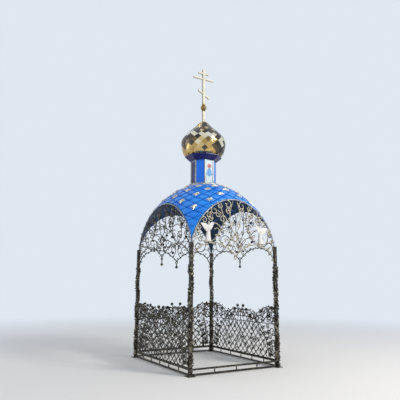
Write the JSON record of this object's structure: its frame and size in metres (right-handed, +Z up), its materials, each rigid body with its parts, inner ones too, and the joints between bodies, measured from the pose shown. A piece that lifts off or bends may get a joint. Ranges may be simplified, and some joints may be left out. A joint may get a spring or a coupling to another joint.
{
  "type": "open wrought-iron chapel",
  "caption": "Open forged-metal chapel: four posts, low lattice panels on three sides, scrollwork arches, a blue vaulted roof, a drum, a gilt onion dome and an eastern cross.",
  "frame": {"origin": "middle of the plan at the underside of the foot plates", "axes": "+Z up; the open entrance side faces -Y, and +X runs along it to the right as seen from outside"},
  "size_m": [2.15, 2.65, 6.653],
  "materials": {
    "wrought_iron": "black-brown forged iron with bronze and silver patina on the raised edges",
    "rim_steel": "pale grey edge trim, satin",
    "roof_blue": "glossy bright blue sheet with dark folded seams",
    "drum_blue": "glossy blue",
    "trim_steel": "bright strip, lightly brushed",
    "white_enamel": "white enamel with a plain painted motif",
    "cornice_purple": "dark violet-blue, satin",
    "gilt_mirror": "mirror-polished gilt sheet in small lozenges",
    "gilt_pale": "polished pale gilt",
    "angel_white": "matt white paint"
  },
  "bodies": {
    "root": {"angel_left": "angel_white", "angel_right": "angel_white", "back_arcade": "wrought_iron", "back_crest": "wrought_iron", "back_fence": "wrought_iron", "back_rail": "wrought_iron", "back_rim": "rim_steel", "back_scrollwork": "wrought_iron", "base_bars": "wrought_iron", "blue_panels": "drum_blue", "corner_strips": "trim_steel", "cornice": "cornice_purple", "cross_main_bar": "gilt_pale", "cross_shaft": "gilt_pale", "cross_slanted_bar": "gilt_pale", "cross_upper_bar": "gilt_pale", "drum_collar": "trim_steel", "drum_wall": "drum_blue", "foot_plates": "wrought_iron", "front_arcade": "wrought_iron", "front_rail": "wrought_iron", "front_rim": "rim_steel", "front_scrollwork": "wrought_iron", "left_arcade": "wrought_iron", "left_crest": "wrought_iron", "left_fence": "wrought_iron", "left_rail": "wrought_iron", "left_rim": "rim_steel", "left_scrollwork": "wrought_iron", "onion_dome": "gilt_mirror", "post_back_left": "wrought_iron", "post_back_right": "wrought_iron", "post_front_left": "wrought_iron", "post_front_right": "wrought_iron", "right_arcade": "wrought_iron", "right_crest": "wrought_iron", "right_fence": "wrought_iron", "right_rail": "wrought_iron", "right_rim": "rim_steel", "right_scrollwork": "wrought_iron", "roof_back": "roof_blue", "roof_front": "roof_blue", "roof_left": "roof_blue", "roof_right": "roof_blue", "white_panels": "white_enamel"}
  },
  "joints": []
}
